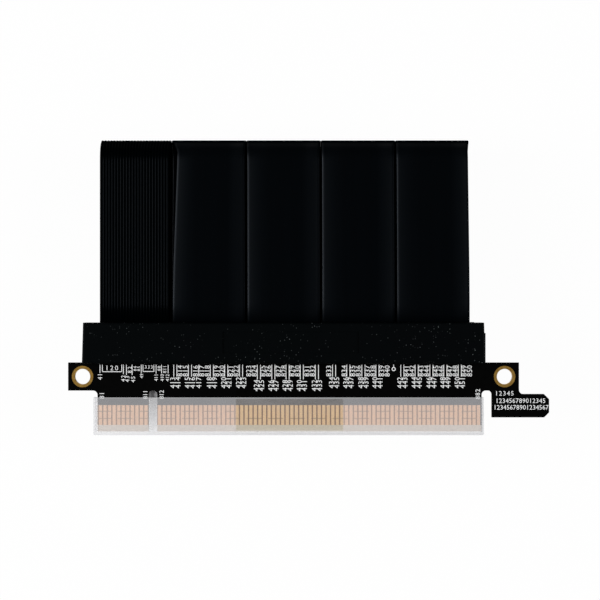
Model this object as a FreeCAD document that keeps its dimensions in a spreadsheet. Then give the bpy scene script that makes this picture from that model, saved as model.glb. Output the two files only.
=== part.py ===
import FreeCAD, Part
import math
import os
import Sketcher

# Extension cable for a 16-lane card slot, folded up on a table.
# Millimetres, +Z up. The origin lies on the table, on the slot housing's underside, below the middle
# of the finger edge's width and of the first overmould's length. +X runs along the row of contacts,
# and +Y points from the gold fingers towards the ribbons.
doc = FreeCAD.newDocument("slot_extension")

# Driving dimensions, one spreadsheet cell each
SIZES = {
    # card-edge board: outline, bevel and fixing holes
    "board_thick": 1.6,
    "edge_level": 20.0,
    "edge_width": 84.3,
    "edge_depth": 8.99,
    "bevel_length": 1.45,
    "bevel_depth": 0.45,
    "key_offset": 12.15,
    "key_width": 1.92,
    "key_depth": 9.0,
    "ear_left": 6.46,
    "ear_right": 8.2,
    "ear_height": 6.14,
    "ear_tuck": 0.12,
    "hook_gap": 2.26,
    "hook_length": 12.56,
    "hook_height": 5.1,
    "hook_drop": 0.79,
    "hook_chamfer": 1.1,
    "corner_round": 1.0,
    "notch_round": 0.9,
    "hole_inset": 3.16,
    "hole_radius": 1.7,
    "rim_radius": 2.35,
    "plating": 0.05,
    # gold fingers
    "pitch": 1.0,
    "fingers_short": 11,
    "fingers_long": 71,
    "key_to_finger": 1.5,
    "finger_width": 0.7,
    "finger_length": 4.35,
    "finger_thick": 0.05,
    # overmould on the card-edge board
    "block_left": 3.6,
    "block_right": 3.1,
    "block_taper": 0.25,
    "block_length": 8.9,
    "block_below": 2.2,
    "block_above": 3.2,
    "block_round": 0.45,
    "block_margin": 2.0,
    "block_reach": 7.05,
    "panel_width": 29.75,
    "panel_height": 4.74,
    "panel_depth": 0.25,
    "panel_shift": 0.26,
    "panel_rise": 0.15,
    # bare wire ends on both boards
    "wire_length": 3.2,
    "wire_thick": 0.25,
    "wire_room": 0.25,
    # slip-on finger cover and the film under it
    "cover_length": 8.24,
    "cover_floor": 0.66,
    "cover_wall": 0.36,
    "cover_clearance": 0.1,
    "cover_play_left": 0.5,
    "cover_play_right": 0.06,
    "cover_round": 0.25,
    "film_width": 23.5,
    "film_length": 6.8,
    "film_rise": 0.35,
    "film_thick": 0.06,
    # ribbons
    "ribbon_thick": 0.9,
    "strand_pitch": 0.635,
    "strands": 24,
    "strand_width": 0.28,
    "strand_left": -41.6,
    "strand_gap": 0.66,
    "pair_width": 15.95,
    "pair_gap": 0.47,
    "pair_wires": 16,
    "pair_wire_width": 0.32,
    # slot housing at the far end
    "slot_length": 89.0,
    "slot_depth": 11.25,
    "slot_height": 7.5,
    "slot_shift": -0.4,
    "slot_front": -9.3,
    "slot_chamfer": 0.7,
    "slot_gap": 1.8,
    "slot_reach": 8.5,
    "slot_play": 0.3,
    "key_wall": 1.6,
    "groove_width": 0.62,
    "groove_height": 3.5,
    "rear_depth": 1.85,
    # slot contacts
    "contact_width": 0.5,
    "contact_thick": 0.25,
    "contact_tail": 2.2,
    "contact_bend": 1.8,
    "contact_tip": 0.7,
    "contact_press": 0.1,
    "contact_flare": 0.55,
    # board and overmould at the far end
    "far_side": 1.0,
    "far_start": 4.4,
    "far_length": 8.0,
    "far_reach": 6.3,
    "far_margin": 1.0,
}

# Route of the ribbons' middle line, chosen by hand as (Y, Z): out of the overmould, round three
# folds and into the far overmould.
ROUTE = [
    (0.6, 21.25),
    (42.54, 21.25), (44.78, 17.37), (42.54, 13.5),
    (33.8, 13.8), (19.5, 15.3), (6.5, 16.2), (0.0, 16.4),
    (-10.3, 16.45), (-12.71, 12.28), (-10.3, 8.1),
    (0.5, 8.02), (14.5, 8.35), (28.5, 7.95), (36.0, 7.6),
    (42.07, 7.5), (44.09, 4.0), (42.07, 0.5),
    (36.0, 0.47), (28.0, 0.6), (20.8, 1.45), (15.3, 2.5), (8.3, 2.5),
]
PAIR_RIBBONS = 4
# Share of the shorter run that each bend takes up
BEND_SHARE = 0.45
# Largest difference between two places that count as one
SAME_PLACE = 0.001

sheet = doc.addObject("Spreadsheet::Sheet", "dims")
for line, (alias, value) in enumerate(SIZES.items(), start=1):
    sheet.set(f"A{line}", alias)
    sheet.set(f"B{line}", str(value))
    sheet.setAlias(f"B{line}", alias)
doc.recompute()


# Places worked out from the driving dimensions, as spreadsheet expressions
EDGE_LEFT = "(-dims.edge_width / 2)"
EDGE_RIGHT = "(dims.edge_width / 2)"
EDGE_TOP = "(dims.edge_level + dims.board_thick / 2)"
EDGE_UNDER = "(dims.edge_level - dims.board_thick / 2)"
KEY_X = "(-dims.edge_width / 2 + dims.key_offset)"
PAIRS_LEFT = "(dims.strand_left + dims.strands * dims.strand_pitch + dims.strand_gap)"
CABLE_RIGHT = f"({PAIRS_LEFT} + {PAIR_RIBBONS} * (dims.pair_width + dims.pair_gap) - dims.pair_gap)"
BLOCK_LEFT = "(dims.strand_left - dims.block_left)"
BLOCK_RIGHT = f"({CABLE_RIGHT} + dims.block_right)"
BLOCK_FRONT = "(-dims.block_length / 2)"
BLOCK_BACK = "(dims.block_length / 2)"
EAR_TOP = f"({BLOCK_FRONT} + dims.ear_tuck)"
EAR_LOW = f"({EAR_TOP} - dims.ear_height)"
EAR_LEFT = f"({EDGE_LEFT} - dims.ear_left)"
EAR_RIGHT = f"({EDGE_RIGHT} + dims.ear_right)"
EDGE_LOW = f"({EAR_LOW} - dims.edge_depth)"
HOOK_LEFT = f"({EDGE_RIGHT} + dims.hook_gap)"
HOOK_RIGHT = f"({HOOK_LEFT} + dims.hook_length)"
HOOK_TOP = f"({EAR_LOW} - dims.hook_drop)"
HOOK_LOW = f"({HOOK_TOP} - dims.hook_height)"
INNER_LEFT = f"({BLOCK_LEFT} + dims.block_margin)"
INNER_RIGHT = f"({BLOCK_RIGHT} - dims.block_margin)"
BOARD_BACK = f"({BLOCK_FRONT} + dims.block_reach)"
HOLE_Y = f"(({EAR_TOP} + {EAR_LOW}) / 2)"
HOLE_LEFT = f"({EAR_LEFT} + dims.hole_inset)"
HOLE_RIGHT = f"({EAR_RIGHT} - dims.hole_inset)"
DRILL = "(dims.hole_radius + dims.plating)"
FINGER_LOW = f"({EDGE_LOW} + dims.bevel_length)"
SLOT_LEVEL = "(dims.slot_height / 2)"
SLOT_BACK = "(dims.slot_front + dims.slot_depth)"
SLOT_KEY_X = f"({KEY_X} + dims.slot_shift)"
SLOT_STOP = "(dims.slot_front + dims.slot_reach)"
REAR_START = f"({SLOT_BACK} - dims.rear_depth)"
FAR_LEFT = "(dims.strand_left - dims.far_side)"
FAR_RIGHT = f"({CABLE_RIGHT} + dims.far_side)"
FAR_TOP = f"({SLOT_LEVEL} + dims.board_thick / 2)"
FAR_UNDER = f"({SLOT_LEVEL} - dims.board_thick / 2)"
TAIL_OUT = "(dims.board_thick / 2 + dims.contact_thick)"


def size(alias):
    """The value of one driving dimension."""
    return float(sheet.get(alias))


def pair_left(number):
    """Left side of a shielded ribbon, as an expression, counted from 0."""
    return f"({PAIRS_LEFT} + {number} * (dims.pair_width + dims.pair_gap))"


def new_body(label):
    """An empty body, which takes its label as the sub-part's name."""
    return doc.addObject("PartDesign::Body", label)


def new_sketch(body, name, plane="XY_Plane", offset="0"):
    """A sketch on one of the body's own origin planes, moved along the plane's normal."""
    sketch = body.newObject("Sketcher::SketchObject", name)
    origin_plane = [item for item in body.Origin.OriginFeatures if item.Role == plane][0]
    sketch.AttachmentSupport = [(origin_plane, "")]
    sketch.MapMode = "FlatFace"
    sketch.setExpression("AttachmentOffset.Base.z", offset)
    return sketch


def set_place(sketch, geometry, vertex, across, along):
    """Tie one sketch point to two expressions, measured from the sketch's origin."""
    for kind, expression in (("DistanceX", across), ("DistanceY", along)):
        value = sheet.evalExpression(expression)
        index = sketch.addConstraint(Sketcher.Constraint(kind, -1, 1, geometry, vertex, float(value)))
        sketch.setExpression(f"Constraints[{index}]", expression)


def draw_polygon(sketch, corners):
    """A closed outline whose corners are pairs of expressions."""
    values = [[float(sheet.evalExpression(part)) for part in corner] for corner in corners]
    count = len(corners)
    first = sketch.GeometryCount
    for number, corner in enumerate(values):
        following = values[(number + 1) % count]
        line = Part.LineSegment(FreeCAD.Vector(*corner, 0), FreeCAD.Vector(*following, 0))
        sketch.addGeometry(line)
    for number in range(count):
        following = first + (number + 1) % count
        sketch.addConstraint(Sketcher.Constraint("Coincident", first + number, 2, following, 1))
    for number, (across, along) in enumerate(corners):
        set_place(sketch, first + number, 1, across, along)


def draw_rectangle(sketch, left, low, right, high):
    """A rectangle between two corners."""
    draw_polygon(sketch, [(left, low), (right, low), (right, high), (left, high)])


def draw_circle(sketch, across, along, radius):
    """A circle tied to its centre and radius."""
    centre = FreeCAD.Vector(*(float(sheet.evalExpression(part)) for part in (across, along)), 0)
    value = float(sheet.evalExpression(radius))
    geometry = sketch.addGeometry(Part.Circle(centre, FreeCAD.Vector(0, 0, 1), value))
    index = sketch.addConstraint(Sketcher.Constraint("Radius", geometry, value))
    sketch.setExpression(f"Constraints[{index}]", radius)
    set_place(sketch, geometry, 3, across, along)


def pad(body, sketch, length, reverse=False, middle=False):
    """Raise a sketch into a solid."""
    feature = body.newObject("PartDesign::Pad", f"{sketch.Name}_pad")
    feature.Profile = sketch
    feature.setExpression("Length", length)
    feature.Reversed = reverse
    feature.Midplane = middle
    doc.recompute()
    return feature


def pocket(body, sketch, length, reverse=False, middle=False):
    """Cut a sketch into the solid, and stop where it cuts nothing."""
    before = body.Shape.Volume
    feature = body.newObject("PartDesign::Pocket", f"{sketch.Name}_pocket")
    feature.Profile = sketch
    feature.setExpression("Length", length)
    feature.Reversed = reverse
    feature.Midplane = middle
    doc.recompute()
    if body.Shape.Volume >= before:
        raise RuntimeError(f"{feature.Name} cuts nothing")
    return feature


def row(body, sketch, feature, count, pitch="dims.pitch", axis="H_Axis"):
    """Repeat a feature along one of its sketch's own axes."""
    pattern = body.newObject("PartDesign::LinearPattern", f"{feature.Name}_row")
    pattern.Originals = [feature]
    pattern.Direction = (sketch, [axis])
    pattern.setExpression("Length", f"({count} - 1) * {pitch}")
    pattern.setExpression("Occurrences", count)
    body.Tip = pattern
    doc.recompute()
    return pattern


def row_of_boxes(body, name, left, low, width, length, base, thick, count, pitch, reverse=False):
    """Like boxes side by side along X on a level face."""
    sketch = new_sketch(body, name, offset=base)
    draw_rectangle(sketch, left, low, f"{left} + {width}", f"{low} + {length}")
    row(body, sketch, pad(body, sketch, thick, reverse=reverse), count, pitch)


def upright_edges(shape, corners):
    """Names of the vertical edges that stand at the given corners."""
    places = [[float(sheet.evalExpression(part)) for part in corner] for corner in corners]
    names = []
    for number, edge in enumerate(shape.Edges, start=1):
        tops = [(vertex.X, vertex.Y) for vertex in edge.Vertexes]
        for place in places:
            if len(tops) == 2 and all(math.dist(top, place) < SAME_PLACE for top in tops):
                names.append(f"Edge{number}")
    return names


def level_edges(shape):
    """Names of the edges that lie level, round a block's top and underside."""
    return [f"Edge{number}" for number, edge in enumerate(shape.Edges, start=1)
            if edge.BoundBox.ZLength < SAME_PLACE]


def round_edges(body, base, names, radius):
    """Round the named edges of the body's last feature."""
    feature = body.newObject("PartDesign::Fillet", f"{base.Name}_round")
    feature.Base = (base, names)
    feature.setExpression("Radius", radius)
    doc.recompute()
    return feature


def cut_away(label, base, tools):
    """One piece less the pieces that lie in it."""
    for number, tool in enumerate(tools):
        cut = doc.addObject("Part::Cut", f"{label}_cut_{number}")
        cut.Base = base
        cut.Tool = tool
        base = cut
    base.Label = label
    doc.recompute()
    return base


# Card-edge board: a flat circuit board with two fixing ears, the fingers' tongue and a hook tail
def make_edge_board():
    body = new_body("edge_board")
    key_left = f"({KEY_X} - dims.key_width / 2)"
    key_right = f"({KEY_X} + dims.key_width / 2)"
    key_top = f"({EDGE_LOW} + dims.key_depth)"
    chamfer_left = f"({HOOK_RIGHT} - dims.hook_chamfer)"
    neck = (EDGE_LEFT, EAR_LOW)
    elbow = (EAR_RIGHT, HOOK_TOP)
    notch_tops = [(key_left, key_top), (key_right, key_top), (EDGE_RIGHT, EAR_LOW), (HOOK_LEFT, EAR_LOW)]
    sketch = new_sketch(body, "edge_outline", offset="dims.edge_level")
    draw_polygon(sketch, [
        (EAR_LEFT, EAR_LOW), neck, (EDGE_LEFT, EDGE_LOW),
        (key_left, EDGE_LOW), notch_tops[0], notch_tops[1], (key_right, EDGE_LOW),
        (EDGE_RIGHT, EDGE_LOW), notch_tops[2], notch_tops[3], (HOOK_LEFT, HOOK_LOW),
        (chamfer_left, HOOK_LOW), (HOOK_RIGHT, f"{HOOK_LOW} + dims.hook_chamfer"),
        (HOOK_RIGHT, f"{HOOK_TOP} - dims.hook_chamfer"), (chamfer_left, HOOK_TOP),
        elbow, (EAR_RIGHT, EAR_TOP), (INNER_RIGHT, EAR_TOP), (INNER_RIGHT, BOARD_BACK),
        (INNER_LEFT, BOARD_BACK), (INNER_LEFT, EAR_TOP), (EAR_LEFT, EAR_TOP),
    ])
    plate = pad(body, sketch, "dims.board_thick", middle=True)
    elbows = round_edges(body, plate, upright_edges(plate.Shape, [neck, elbow]), "dims.corner_round")
    round_edges(body, elbows, upright_edges(elbows.Shape, notch_tops), "dims.notch_round")
    holes = new_sketch(body, "edge_holes", offset="dims.edge_level")
    draw_circle(holes, HOLE_LEFT, HOLE_Y, DRILL)
    draw_circle(holes, HOLE_RIGHT, HOLE_Y, DRILL)
    pocket(body, holes, "2 * dims.board_thick", middle=True)
    bevels = new_sketch(body, "edge_bevels", plane="YZ_Plane")
    for face, inward in ((EDGE_TOP, "-"), (EDGE_UNDER, "+")):
        draw_polygon(bevels, [(EDGE_LOW, face), (FINGER_LOW, face),
                              (EDGE_LOW, f"{face} {inward} dims.bevel_depth")])
    pocket(body, bevels, "2 * dims.edge_width", middle=True)
    return body


# Gold fingers: plated contact strips on one face of the tongue, in two rows beside the key notch
def make_fingers(label, base, reverse):
    body = new_body(label)
    short_left = f"({KEY_X} - dims.key_to_finger - (dims.fingers_short - 1) * dims.pitch)"
    long_left = f"({KEY_X} + dims.key_to_finger)"
    for name, middle, count in (("short", short_left, "dims.fingers_short"),
                                ("long", long_left, "dims.fingers_long")):
        row_of_boxes(body, f"{label}_{name}", f"{middle} - dims.finger_width / 2", FINGER_LOW,
                     "dims.finger_width", "dims.finger_length", base, "dims.finger_thick",
                     count, "dims.pitch", reverse)
    return body


# Hole rims: plated eyelets, a barrel with a flat ring on each face of the board
def make_hole_rims():
    body = new_body("edge_hole_rims")
    half = "(dims.board_thick / 2)"
    outer = f"({half} + dims.plating)"
    sketch = new_sketch(body, "rim_section", plane="XZ_Plane")
    draw_polygon(sketch, [
        ("dims.hole_radius", f"-{outer}"), ("dims.rim_radius", f"-{outer}"),
        ("dims.rim_radius", f"-{half}"), (DRILL, f"-{half}"), (DRILL, half),
        ("dims.rim_radius", half), ("dims.rim_radius", outer), ("dims.hole_radius", outer),
    ])
    eyelet = body.newObject("PartDesign::Revolution", "eyelet")
    eyelet.Profile = sketch
    eyelet.ReferenceAxis = (sketch, ["V_Axis"])
    doc.recompute()
    row(body, sketch, eyelet, "2", f"({HOLE_RIGHT} - {HOLE_LEFT})")
    body.setExpression("Placement.Base.x", HOLE_LEFT)
    body.setExpression("Placement.Base.y", HOLE_Y)
    body.setExpression("Placement.Base.z", "dims.edge_level")
    return body


# Bare wire ends: the tinned conductors of all five ribbons, soldered side by side on a board's face
def make_wire_ends(label, low, base, reverse):
    body = new_body(label)
    side = "(dims.strand_pitch / 2 - dims.strand_width / 2)"
    row_of_boxes(body, f"{label}_strands", f"dims.strand_left + {side}", low, "dims.strand_width",
                 "dims.wire_length", base, "dims.wire_thick", "dims.strands", "dims.strand_pitch", reverse)
    wire_pitch = "(dims.pair_width / dims.pair_wires)"
    inset = f"({wire_pitch} / 2 - dims.pair_wire_width / 2)"
    for number in range(PAIR_RIBBONS):
        row_of_boxes(body, f"{label}_pairs_{number + 1}", f"{pair_left(number)} + {inset}", low,
                     "dims.pair_wire_width", "dims.wire_length", base, "dims.wire_thick",
                     "dims.pair_wires", wire_pitch, reverse)
    return body


# Room for the soldered wire ends inside an overmould
def make_wire_room(label, low, base):
    box = doc.addObject("Part::Box", label)
    box.setExpression("Length", f"{CABLE_RIGHT} - dims.strand_left")
    box.setExpression("Width", "dims.wire_length")
    box.setExpression("Height", "dims.wire_thick + dims.wire_room")
    box.setExpression("Placement.Base.x", "dims.strand_left")
    box.setExpression("Placement.Base.y", low)
    box.setExpression("Placement.Base.z", base)
    return box


# Overmould: a solid block moulded round the board's end and the ribbons, wider towards the fingers
def make_edge_overmould(board, ribbons, wire_room):
    body = new_body("edge_overmould_block")
    sketch = new_sketch(body, "block_outline", offset=f"{EDGE_UNDER} - dims.block_below")
    widen = "dims.block_taper / 2"
    draw_polygon(sketch, [
        (f"{BLOCK_LEFT} - {widen}", BLOCK_FRONT), (f"{BLOCK_RIGHT} + {widen}", BLOCK_FRONT),
        (f"{BLOCK_RIGHT} - {widen}", BLOCK_BACK), (f"{BLOCK_LEFT} + {widen}", BLOCK_BACK),
    ])
    block = pad(body, sketch, "dims.block_below + dims.board_thick + dims.block_above")
    round_edges(body, block, level_edges(block.Shape), "dims.block_round")
    panel = new_sketch(body, "panel_outline", offset=f"{EDGE_TOP} + dims.block_above")
    draw_rectangle(panel, "dims.panel_shift - dims.panel_width / 2", "dims.panel_rise - dims.panel_height / 2",
                   "dims.panel_shift + dims.panel_width / 2", "dims.panel_rise + dims.panel_height / 2")
    pocket(body, panel, "dims.panel_depth")
    return cut_away("edge_overmould", body, [board, *ribbons, wire_room])


# Finger cover: a thin translucent sleeve with one open side, slipped over the gold fingers
def make_finger_cover():
    body = new_body("finger_cover")
    inner_left = f"({EDGE_LEFT} - dims.cover_play_left)"
    inner_right = f"({EDGE_RIGHT} + dims.cover_play_right)"
    outer_left = f"({inner_left} - dims.cover_wall)"
    outer_right = f"({inner_right} + dims.cover_wall)"
    inner_half = "(dims.board_thick / 2 + dims.finger_thick + dims.cover_clearance)"
    outer_half = f"({inner_half} + dims.cover_wall)"
    cover_low = f"({EDGE_LOW} - dims.cover_clearance - dims.cover_floor)"
    cover_high = f"({cover_low} + dims.cover_length)"
    sketch = new_sketch(body, "cover_outline", offset="dims.edge_level")
    draw_rectangle(sketch, outer_left, cover_low, outer_right, cover_high)
    sleeve = pad(body, sketch, f"2 * {outer_half}", middle=True)
    corners = [(outer_left, cover_low), (outer_right, cover_low)]
    round_edges(body, sleeve, upright_edges(sleeve.Shape, corners), "dims.cover_round")
    hollow = new_sketch(body, "cover_hollow", offset="dims.edge_level")
    draw_rectangle(hollow, inner_left, f"{EDGE_LOW} - dims.cover_clearance", inner_right,
                   f"{cover_high} + dims.cover_wall")
    pocket(body, hollow, f"2 * {inner_half}", middle=True)
    return body


# Film: a clear amber patch on the inside of the cover, over the middle fingers
def make_finger_film():
    film = doc.addObject("Part::Box", "finger_film")
    film.setExpression("Length", "dims.film_width")
    film.setExpression("Width", "dims.film_length")
    film.setExpression("Height", "dims.film_thick")
    film.setExpression("Placement.Base.x", "-dims.film_width / 2")
    film.setExpression("Placement.Base.y", f"{EDGE_LOW} + dims.film_rise")
    cover_face = f"({EDGE_TOP} + dims.finger_thick + dims.cover_clearance)"
    film.setExpression("Placement.Base.z", f"{cover_face} - dims.film_thick")
    return film


def bend_at(before, corner, after):
    """The bend at one point of the route: its two ends, its centre, its radius and its turn."""
    first = FreeCAD.Vector(*corner, 0) - FreeCAD.Vector(*before, 0)
    second = FreeCAD.Vector(*after, 0) - FreeCAD.Vector(*corner, 0)
    reach = BEND_SHARE * min(first.Length, second.Length)
    first.normalize()
    second.normalize()
    turn = math.atan2(first.cross(second).z, first.dot(second))
    radius = reach / math.tan(abs(turn) / 2)
    point = FreeCAD.Vector(*corner, 0)
    left = FreeCAD.Vector(-first.y, first.x, 0)
    centre = point - first * reach + left * math.copysign(radius, turn)
    return {"start": point - first * reach, "end": point + second * reach, "centre": centre,
            "point": point, "radius": radius, "turn": turn}


def ribbon_side(bends, offset):
    """The route's line moved sideways: straight runs joined by tangent arcs."""
    ends = [FreeCAD.Vector(*ROUTE[0], 0), FreeCAD.Vector(*ROUTE[-1], 0)]
    edges = []
    here = None
    for number in range(len(bends) + 1):
        run_start = bends[number - 1]["end"] if number else ends[0]
        run_end = bends[number]["start"] if number < len(bends) else ends[1]
        along = (run_end - run_start).normalize()
        aside = FreeCAD.Vector(-along.y, along.x, 0) * offset
        if here is None:
            here = run_start + aside
        edges.append(Part.makeLine(here, run_end + aside))
        here = run_end + aside
        if number < len(bends):
            bend = bends[number]
            following = bends[number + 1]["start"] if number + 1 < len(bends) else ends[1]
            onward = (following - bend["end"]).normalize()
            arc_end = bend["end"] + FreeCAD.Vector(-onward.y, onward.x, 0) * offset
            outward = (bend["point"] - bend["centre"]).normalize()
            middle = bend["centre"] + outward * (bend["radius"] - math.copysign(offset, bend["turn"] * offset))
            edges.append(Part.Arc(here, middle, arc_end).toShape())
            here = arc_end
    return edges


# Ribbon: a flat strip of even thickness carried along the route
def make_ribbon(label, left, width):
    bends = [bend_at(*ROUTE[number - 1:number + 2]) for number in range(1, len(ROUTE) - 1)]
    thick = size("ribbon_thick")
    upper = ribbon_side(bends, thick / 2)
    lower = ribbon_side(bends, -thick / 2)
    caps = [Part.makeLine(lower[0].Vertexes[0].Point, upper[0].Vertexes[0].Point),
            Part.makeLine(upper[-1].Vertexes[-1].Point, lower[-1].Vertexes[-1].Point)]
    outline = Part.Wire(Part.__sortEdges__(upper + lower + caps))
    strip = Part.Face(outline).extrude(FreeCAD.Vector(0, 0, width))
    ribbon = doc.addObject("Part::Feature", label)
    ribbon.Shape = strip
    # The strip is drawn flat, so its first two axes become Y and Z and its third becomes X
    turned = FreeCAD.Rotation(FreeCAD.Vector(0, 1, 0), FreeCAD.Vector(0, 0, 1), FreeCAD.Vector(1, 0, 0), "ZXY")
    ribbon.Placement = FreeCAD.Placement(FreeCAD.Vector(left, 0, 0), turned)
    return ribbon


def report_route():
    """Print the ribbons' length and the radius of each bend."""
    bends = [bend_at(*ROUTE[number - 1:number + 2]) for number in range(1, len(ROUTE) - 1)]
    middle = ribbon_side(bends, 0)
    length = sum(edge.Length for edge in middle)
    print("ribbon length", round(length, 2))
    print("bend radii", [round(bend["radius"], 2) for bend in bends])
    return length


# Slot housing: a long moulded box with a card slot, a key wall and a groove for each pair of contacts
def make_slot_housing():
    body = new_body("slot_housing")
    left = "(dims.slot_shift - dims.slot_length / 2)"
    right = "(dims.slot_shift + dims.slot_length / 2)"
    sketch = new_sketch(body, "housing_outline")
    draw_rectangle(sketch, left, "dims.slot_front", right, SLOT_BACK)
    box = pad(body, sketch, "dims.slot_height")
    rim = [number for number, edge in enumerate(box.Shape.Edges, start=1)
           if abs(edge.CenterOfMass.y - size("slot_front")) < SAME_PLACE
           and edge.BoundBox.XLength > size("slot_length") / 2]
    chamfer = body.newObject("PartDesign::Chamfer", "mouth_chamfer")
    chamfer.Base = (box, [f"Edge{number}" for number in rim])
    chamfer.setExpression("Size", "dims.slot_chamfer")
    doc.recompute()
    low = f"({SLOT_LEVEL} - dims.slot_gap / 2)"
    high = f"({SLOT_LEVEL} + dims.slot_gap / 2)"
    half_card = "((dims.edge_width + dims.slot_play) / 2)"
    mouth = new_sketch(body, "card_slot", plane="XZ_Plane", offset="-dims.slot_front")
    draw_rectangle(mouth, f"dims.slot_shift - {half_card}", low, f"{SLOT_KEY_X} - dims.key_wall / 2", high)
    draw_rectangle(mouth, f"{SLOT_KEY_X} + dims.key_wall / 2", low, f"dims.slot_shift + {half_card}", high)
    pocket(body, mouth, "dims.slot_reach")
    half_groove = "(dims.groove_height / 2)"
    short_middle = f"({SLOT_KEY_X} - dims.key_to_finger - (dims.fingers_short - 1) * dims.pitch)"
    for name, middle, count in (("short", short_middle, "dims.fingers_short"),
                                ("long", f"({SLOT_KEY_X} + dims.key_to_finger)", "dims.fingers_long")):
        groove = new_sketch(body, f"groove_{name}", plane="XZ_Plane", offset="-dims.slot_front")
        draw_rectangle(groove, f"{middle} - dims.groove_width / 2", f"{SLOT_LEVEL} - {half_groove}",
                       f"{middle} + dims.groove_width / 2", f"{SLOT_LEVEL} + {half_groove}")
        row(body, groove, pocket(body, groove, "dims.slot_reach"), count)
    rear = new_sketch(body, "board_groove", plane="XZ_Plane", offset=f"-{SLOT_BACK}")
    draw_rectangle(rear, f"dims.slot_shift - {half_card}", f"{SLOT_LEVEL} - {TAIL_OUT}",
                   f"dims.slot_shift + {half_card}", f"{SLOT_LEVEL} + {TAIL_OUT}")
    pocket(body, rear, "dims.rear_depth", reverse=True)
    first = f"({short_middle} - dims.groove_width / 2)"
    last = f"({SLOT_KEY_X} + dims.key_to_finger + (dims.fingers_long - 1) * dims.pitch + dims.groove_width / 2)"
    slits = new_sketch(body, "tail_slits", plane="XZ_Plane", offset=f"-{SLOT_BACK}")
    draw_rectangle(slits, first, FAR_TOP, last, f"{SLOT_LEVEL} + {TAIL_OUT}")
    draw_rectangle(slits, first, f"{SLOT_LEVEL} - {TAIL_OUT}", last, FAR_UNDER)
    pocket(body, slits, "dims.slot_depth - dims.slot_reach", reverse=True)
    return body


# Slot contacts: spring blades along one side of the slot, with a flared tip and a tail on the board
def make_slot_contacts(label, side):
    body = new_body(label)
    inner = "(dims.board_thick / 2)"
    press = f"({inner} - dims.contact_press)"
    flare = f"({inner} + dims.contact_flare)"
    tail = f"({SLOT_BACK} + dims.contact_tail)"
    tip = "(dims.slot_front + dims.contact_tip)"
    bend = f"({tip} + dims.contact_bend)"
    heights = [inner, press, flare]
    near = [f"({SLOT_LEVEL} {side} {height})" for height in heights]
    far = [f"({SLOT_LEVEL} {side} ({height} + dims.contact_thick))" for height in heights]
    short_middle = f"({SLOT_KEY_X} - dims.key_to_finger - (dims.fingers_short - 1) * dims.pitch)"
    for name, middle, count in (("short", short_middle, "dims.fingers_short"),
                                ("long", f"({SLOT_KEY_X} + dims.key_to_finger)", "dims.fingers_long")):
        sketch = new_sketch(body, f"{label}_{name}", plane="YZ_Plane",
                            offset=f"{middle} - dims.contact_width / 2")
        draw_polygon(sketch, [(tail, near[0]), (SLOT_STOP, near[0]), (bend, near[1]), (tip, near[2]),
                              (tip, far[2]), (bend, far[1]), (SLOT_STOP, far[0]), (tail, far[0])])
        row(body, sketch, pad(body, sketch, "dims.contact_width"), count, axis="N_Axis")
    return body


# Far board: a strip of circuit board under the slot's tails, narrower inside the far overmould
def make_slot_board():
    body = new_body("slot_board")
    tail_left = f"(dims.slot_shift + {EDGE_LEFT})"
    tail_right = f"(dims.slot_shift + {EDGE_RIGHT})"
    wire_left = f"({FAR_LEFT} + dims.far_margin)"
    wire_right = f"({FAR_RIGHT} - dims.far_margin)"
    back = "(dims.far_start + dims.far_reach)"
    sketch = new_sketch(body, "far_board_outline", offset=SLOT_LEVEL)
    draw_polygon(sketch, [
        (tail_left, REAR_START), (tail_right, REAR_START), (tail_right, "dims.far_start"),
        (wire_right, "dims.far_start"), (wire_right, back), (wire_left, back),
        (wire_left, "dims.far_start"), (tail_left, "dims.far_start"),
    ])
    pad(body, sketch, "dims.board_thick", middle=True)
    return body


# Far overmould: a plain block round the far board's end and the ribbons
def make_slot_overmould(board, ribbons, wire_room):
    body = new_body("slot_overmould_block")
    sketch = new_sketch(body, "far_outline")
    draw_rectangle(sketch, FAR_LEFT, "dims.far_start", FAR_RIGHT, "dims.far_start + dims.far_length")
    block = pad(body, sketch, "dims.slot_height")
    round_edges(body, block, level_edges(block.Shape), "dims.block_round")
    return cut_away("slot_overmould", body, [board, *ribbons, wire_room])


edge_board = make_edge_board()
strand_span = size("strands") * size("strand_pitch")
ribbons = [make_ribbon("wire_ribbon", size("strand_left"), strand_span)]
for ribbon_number in range(PAIR_RIBBONS):
    ribbon_left = float(sheet.evalExpression(pair_left(ribbon_number)))
    ribbons.append(make_ribbon(f"pair_ribbon_{ribbon_number + 1}", ribbon_left, size("pair_width")))
edge_wire_low = f"({ROUTE[0][0]} - dims.wire_length)"
edge_wire_room = make_wire_room("edge_wire_room", edge_wire_low, EDGE_TOP)
slot_board = make_slot_board()
slot_wire_base = f"({FAR_UNDER} - dims.wire_thick - dims.wire_room)"
slot_wire_low = f"({ROUTE[-1][0]} - dims.wire_length)"
slot_wire_room = make_wire_room("slot_wire_room", slot_wire_low, slot_wire_base)

SUB_PARTS = [
    edge_board,
    make_fingers("edge_fingers_front", EDGE_TOP, reverse=False),
    make_fingers("edge_fingers_back", EDGE_UNDER, reverse=True),
    make_hole_rims(),
    make_edge_overmould(edge_board, ribbons, edge_wire_room),
    make_wire_ends("edge_wire_ends", edge_wire_low, EDGE_TOP, reverse=False),
    make_finger_cover(),
    make_finger_film(),
    *ribbons,
    slot_board,
    make_slot_housing(),
    make_slot_contacts("slot_contacts_upper", "+"),
    make_slot_contacts("slot_contacts_lower", "-"),
    make_slot_overmould(slot_board, ribbons, slot_wire_room),
    make_wire_ends("slot_wire_ends", slot_wire_low, FAR_UNDER, reverse=True),
]

# Check the whole document before anything is written
doc.recompute()
for item in doc.Objects:
    if {"Invalid", "Error"} & set(item.State):
        raise RuntimeError(f"{item.Label} failed: {item.State}")
for part in SUB_PARTS:
    if part.Shape.isNull() or not part.Shape.isValid():
        raise RuntimeError(f"{part.Label} has no valid shape")

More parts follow.
